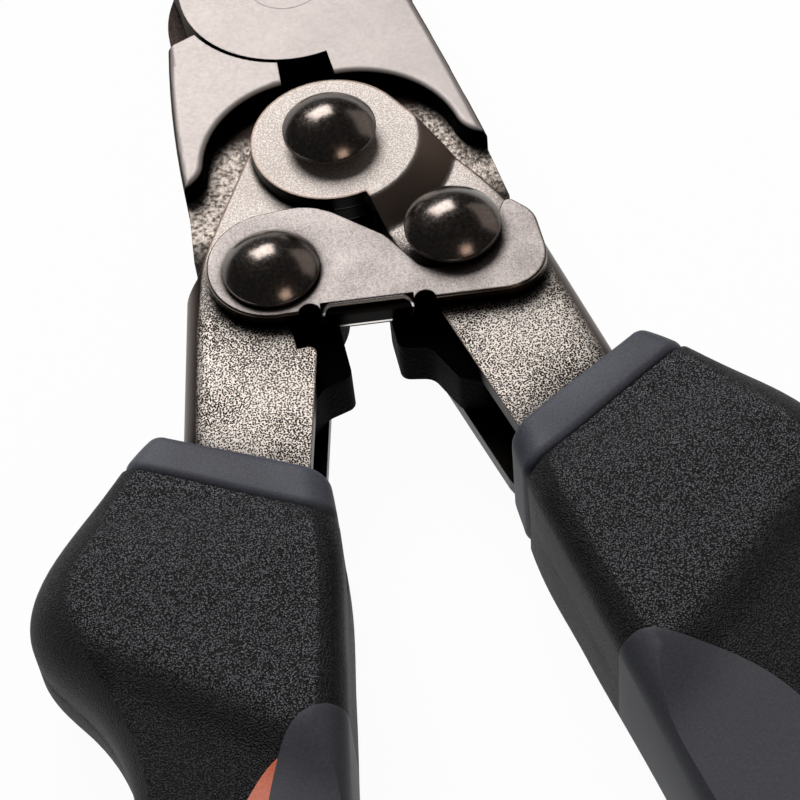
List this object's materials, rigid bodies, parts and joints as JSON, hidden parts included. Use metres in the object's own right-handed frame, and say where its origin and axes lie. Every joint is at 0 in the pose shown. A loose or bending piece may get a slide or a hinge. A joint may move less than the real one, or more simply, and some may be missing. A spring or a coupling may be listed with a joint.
{
  "type": "cable cutter",
  "caption": "Compound-action cable cutter with lap-jointed jaws, folded steel handles, a swinging latch plate and soft two-part grips with hand guards.",
  "frame": {"origin": "on the axis of the handle pivot, at the flat rear face of its rivet cap, which the tool rests on", "axes": "+Y towards the blade tips along the tool's middle line, +Z out of the front face with the dome heads and the latch, +X to the right seen from the front with the blades up"},
  "size_m": [0.0906, 0.2428, 0.0223],
  "materials": {
    "forged_steel": "satin ground lands over forged grey recesses",
    "pressed_steel": "fine-grained pressed sheet, lightly oiled",
    "rivet_steel": "dark polished",
    "spring_steel": "black oiled wire",
    "grip_black": "finely pebbled",
    "grip_grey": "matte",
    "grip_collar": "fine matte",
    "grip_orange": "satin"
  },
  "bodies": {
    "left_handle": {"left_handle_channel": "pressed_steel", "left_grip_core": "grip_orange", "left_grip_body": "grip_black", "left_grip_collar": "grip_collar", "left_grip_insert": "grip_grey", "handle_pivot_rivet": "rivet_steel", "handle_pivot_cap": "rivet_steel", "handle_pivot_bush": "rivet_steel", "left_tail_rivet": "rivet_steel", "left_tail_cap": "rivet_steel", "return_spring": "spring_steel"},
    "right_handle": {"right_handle_channel": "pressed_steel", "right_grip_core": "grip_orange", "right_grip_body": "grip_black", "right_grip_collar": "grip_collar", "right_grip_insert": "grip_grey", "right_tail_rivet": "rivet_steel", "right_tail_cap": "rivet_steel"},
    "rear_jaw": {"rear_jaw": "forged_steel"},
    "front_jaw": {"front_jaw": "forged_steel", "jaw_rivet": "forged_steel", "jaw_rivet_cap": "forged_steel"},
    "latch": {"latch_plate": "pressed_steel"}
  },
  "joints": [
    {"name": "handle_fold", "type": "hinge", "parent": "left_handle", "child": "right_handle", "pos_m": [0, 0, 0.01], "axis": [0, 0, 1], "range_deg": [0, 50]},
    {"name": "rear_jaw_swing", "type": "hinge", "parent": "left_handle", "child": "rear_jaw", "pos_m": [-0.0107, -0.0182, 0.01], "axis": [0, 0, 1], "range_deg": [0, 16.46]},
    {"name": "front_jaw_swing", "type": "hinge", "parent": "right_handle", "child": "front_jaw", "pos_m": [0.0107, -0.0182, 0.01], "axis": [0, 0, 1], "range_deg": [-16.46, 0]},
    {"name": "latch_swing", "type": "hinge", "parent": "left_handle", "child": "latch", "pos_m": [-0.0107, -0.0182, 0.01], "axis": [0, 0, 1], "range_deg": [-17, 0]}
  ],
  "couplings": [
    {"joint": "rear_jaw_swing", "follows": "handle_fold", "ratio": 0.3292},
    {"joint": "front_jaw_swing", "follows": "handle_fold", "ratio": -0.3292},
    {"joint": "latch_swing", "follows": "handle_fold", "ratio": -0.34}
  ]
}
